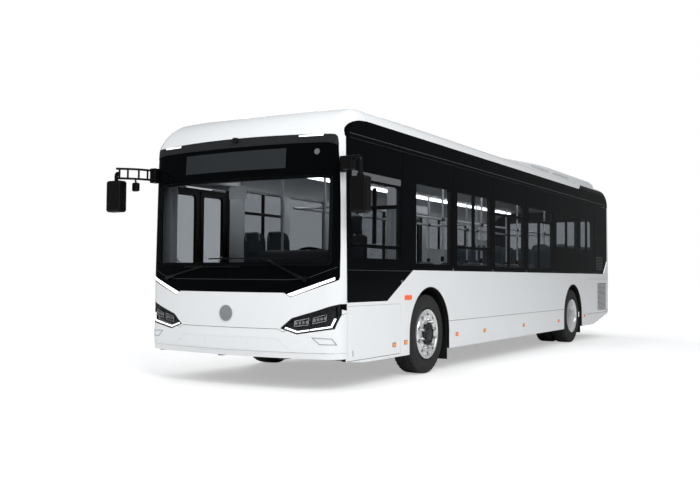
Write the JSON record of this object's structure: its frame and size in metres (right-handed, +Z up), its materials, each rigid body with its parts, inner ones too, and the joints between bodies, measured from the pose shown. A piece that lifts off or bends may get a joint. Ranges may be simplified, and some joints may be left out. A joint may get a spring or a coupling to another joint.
{
  "type": "low-entry electric city bus",
  "caption": "Single-deck low-entry city bus with black glazing band, inward-swinging double doors, steered front wheels and twin rear wheels.",
  "frame": {"origin": "on the ground at the middle of the bus's footprint box", "axes": "+Y towards the rear, +X towards the bus's left side, +Z up"},
  "size_m": [3.24, 11.103, 3.09],
  "materials": {
    "white_paint": "gloss white paint",
    "black_glass": "black bonded glass",
    "clear_glass": "tinted glass",
    "black_plastic": "matte black moulding",
    "frame_steel": "black chassis paint",
    "tyre_rubber": "black rubber",
    "rim_alloy": "polished forged alloy",
    "lamp_lens": "clear lamp cover",
    "tail_lens": "red lamp cover",
    "floor_covering": "grey non-slip floor covering",
    "seat_shell": "moulded seat shell",
    "rail_steel": "brushed handrail tube"
  },
  "bodies": {
    "body": {"chassis_frame": "frame_steel", "saloon_floor": "floor_covering", "front_surround": "white_paint", "front_mask": "black_glass", "windscreen": "clear_glass", "headlamp_left": "lamp_lens", "headlamp_right": "lamp_lens", "front_roof_cap": "white_paint", "left_wall": "white_paint", "right_wall": "white_paint", "left_glazing": "black_glass", "right_glazing": "black_glass", "roof": "white_paint", "rear_roof_cap": "white_paint", "roof_pod": "white_paint", "rear_wall": "white_paint", "rear_window": "clear_glass", "tail_lamp_left": "tail_lens", "tail_lamp_right": "tail_lens", "front_axle": "frame_steel", "rear_axle": "frame_steel", "traction_motor": "frame_steel", "mirror_left": "black_plastic", "mirror_right": "black_plastic", "wiper_left": "black_plastic", "wiper_right": "black_plastic", "dashboard": "black_plastic", "driver_seat": "seat_shell", "driver_partition": "black_plastic", "seats_left": "seat_shell", "seats_right_front": "seat_shell", "seats_right_rear": "seat_shell", "handrails": "rail_steel"},
    "knuckle_left": {"knuckle_left": "frame_steel"},
    "knuckle_right": {"knuckle_right": "frame_steel"},
    "front_wheel_left": {"front_tyre_left": "tyre_rubber", "front_rim_left": "rim_alloy"},
    "front_wheel_right": {"front_tyre_right": "tyre_rubber", "front_rim_right": "rim_alloy"},
    "rear_wheel_left": {"rear_outer_tyre_left": "tyre_rubber", "rear_inner_tyre_left": "tyre_rubber", "rear_rims_left": "rim_alloy"},
    "rear_wheel_right": {"rear_outer_tyre_right": "tyre_rubber", "rear_inner_tyre_right": "tyre_rubber", "rear_rims_right": "rim_alloy"},
    "steering_wheel": {"steering_wheel": "black_plastic"},
    "front_door_front_post": {"front_door_front_post": "black_plastic"},
    "front_door_front_leaf": {"front_door_front_leaf": "black_glass"},
    "front_door_rear_post": {"front_door_rear_post": "black_plastic"},
    "front_door_rear_leaf": {"front_door_rear_leaf": "black_glass"},
    "middle_door_front_post": {"middle_door_front_post": "black_plastic"},
    "middle_door_front_leaf": {"middle_door_front_leaf": "black_glass"},
    "middle_door_rear_post": {"middle_door_rear_post": "black_plastic"},
    "middle_door_rear_leaf": {"middle_door_rear_leaf": "black_glass"},
    "left_front_flap": {"left_front_flap": "white_paint"},
    "left_rear_flap": {"left_rear_flap": "white_paint"},
    "right_rear_flap": {"right_rear_flap": "white_paint"},
    "rear_service_lid": {"rear_service_lid": "white_paint"}
  },
  "joints": [
    {"name": "steer_left", "type": "hinge", "parent": "body", "child": "knuckle_left", "pos_m": [0.9, -2.9785, 0.48], "axis": [0, 0, 1], "range_deg": [-42, 42]},
    {"name": "steer_right", "type": "hinge", "parent": "body", "child": "knuckle_right", "pos_m": [-0.9, -2.9785, 0.48], "axis": [0, 0, 1], "range_deg": [-42, 42]},
    {"name": "steering_wheel_turn", "type": "hinge", "parent": "body", "child": "steering_wheel", "pos_m": [0.62, -4.4785, 1.37], "axis": [0, 0.454, 0.891], "range_deg": [-630, 630]},
    {"name": "front_wheel_left_spin", "type": "hinge", "parent": "knuckle_left", "child": "front_wheel_left", "pos_m": [1.1, -2.9785, 0.479], "axis": [1, 0, 0], "continuous": true},
    {"name": "front_wheel_right_spin", "type": "hinge", "parent": "knuckle_right", "child": "front_wheel_right", "pos_m": [-1.1, -2.9785, 0.479], "axis": [1, 0, 0], "continuous": true},
    {"name": "rear_wheel_left_spin", "type": "hinge", "parent": "body", "child": "rear_wheel_left", "pos_m": [0.945, 3.0215, 0.479], "axis": [1, 0, 0], "continuous": true},
    {"name": "rear_wheel_right_spin", "type": "hinge", "parent": "body", "child": "rear_wheel_right", "pos_m": [-0.945, 3.0215, 0.479], "axis": [1, 0, 0], "continuous": true},
    {"name": "front_door_swing", "type": "hinge", "parent": "body", "child": "front_door_front_post", "pos_m": [-1.2525, -4.8375, 1.3], "axis": [0, 0, -1], "range_deg": [0, 85]},
    {"name": "front_door_front_leaf_turn", "type": "hinge", "parent": "front_door_front_post", "child": "front_door_front_leaf", "pos_m": [-1.2525, -4.573, 1.3], "axis": [0, 0, 1], "range_deg": [0, 170]},
    {"name": "front_door_rear_arm_swing", "type": "hinge", "parent": "body", "child": "front_door_rear_post", "pos_m": [-1.2525, -3.7795, 1.3], "axis": [0, 0, 1], "range_deg": [0, 85]},
    {"name": "front_door_rear_leaf_turn", "type": "hinge", "parent": "front_door_rear_post", "child": "front_door_rear_leaf", "pos_m": [-1.2525, -4.044, 1.3], "axis": [0, 0, -1], "range_deg": [0, 170]},
    {"name": "middle_door_swing", "type": "hinge", "parent": "body", "child": "middle_door_front_post", "pos_m": [-1.2525, 0.6125, 1.3], "axis": [0, 0, -1], "range_deg": [0, 85]},
    {"name": "middle_door_front_leaf_turn", "type": "hinge", "parent": "middle_door_front_post", "child": "middle_door_front_leaf", "pos_m": [-1.2525, 0.917, 1.3], "axis": [0, 0, 1], "range_deg": [0, 170]},
    {"name": "middle_door_rear_arm_swing", "type": "hinge", "parent": "body", "child": "middle_door_rear_post", "pos_m": [-1.2525, 1.8305, 1.3], "axis": [0, 0, 1], "range_deg": [0, 85]},
    {"name": "middle_door_rear_leaf_turn", "type": "hinge", "parent": "middle_door_rear_post", "child": "middle_door_rear_leaf", "pos_m": [-1.2525, 1.526, 1.3], "axis": [0, 0, -1], "range_deg": [0, 170]},
    {"name": "left_front_flap_hinge", "type": "hinge", "parent": "body", "child": "left_front_flap", "pos_m": [1.275, -4.3385, 0.863], "axis": [0, -1, 0], "range_deg": [0, 85]},
    {"name": "left_rear_flap_hinge", "type": "hinge", "parent": "body", "child": "left_rear_flap", "pos_m": [1.275, 4.5915, 1.145], "axis": [0, -1, 0], "range_deg": [0, 85]},
    {"name": "right_rear_flap_hinge", "type": "hinge", "parent": "body", "child": "right_rear_flap", "pos_m": [-1.275, 4.5915, 1.145], "axis": [0, 1, 0], "range_deg": [0, 85]},
    {"name": "rear_service_lid_hinge", "type": "hinge", "parent": "body", "child": "rear_service_lid", "pos_m": [0, 5.539, 1.455], "axis": [1, 0, 0], "range_deg": [0, 80]}
  ],
  "couplings": [
    {"joint": "steer_right", "follows": "steer_left", "ratio": 1},
    {"joint": "steering_wheel_turn", "follows": "steer_left", "ratio": 15},
    {"joint": "front_door_front_leaf_turn", "follows": "front_door_swing", "ratio": 2},
    {"joint": "front_door_rear_arm_swing", "follows": "front_door_swing", "ratio": 1},
    {"joint": "front_door_rear_leaf_turn", "follows": "front_door_swing", "ratio": 2},
    {"joint": "middle_door_front_leaf_turn", "follows": "middle_door_swing", "ratio": 2},
    {"joint": "middle_door_rear_arm_swing", "follows": "middle_door_swing", "ratio": 1},
    {"joint": "middle_door_rear_leaf_turn", "follows": "middle_door_swing", "ratio": 2}
  ]
}
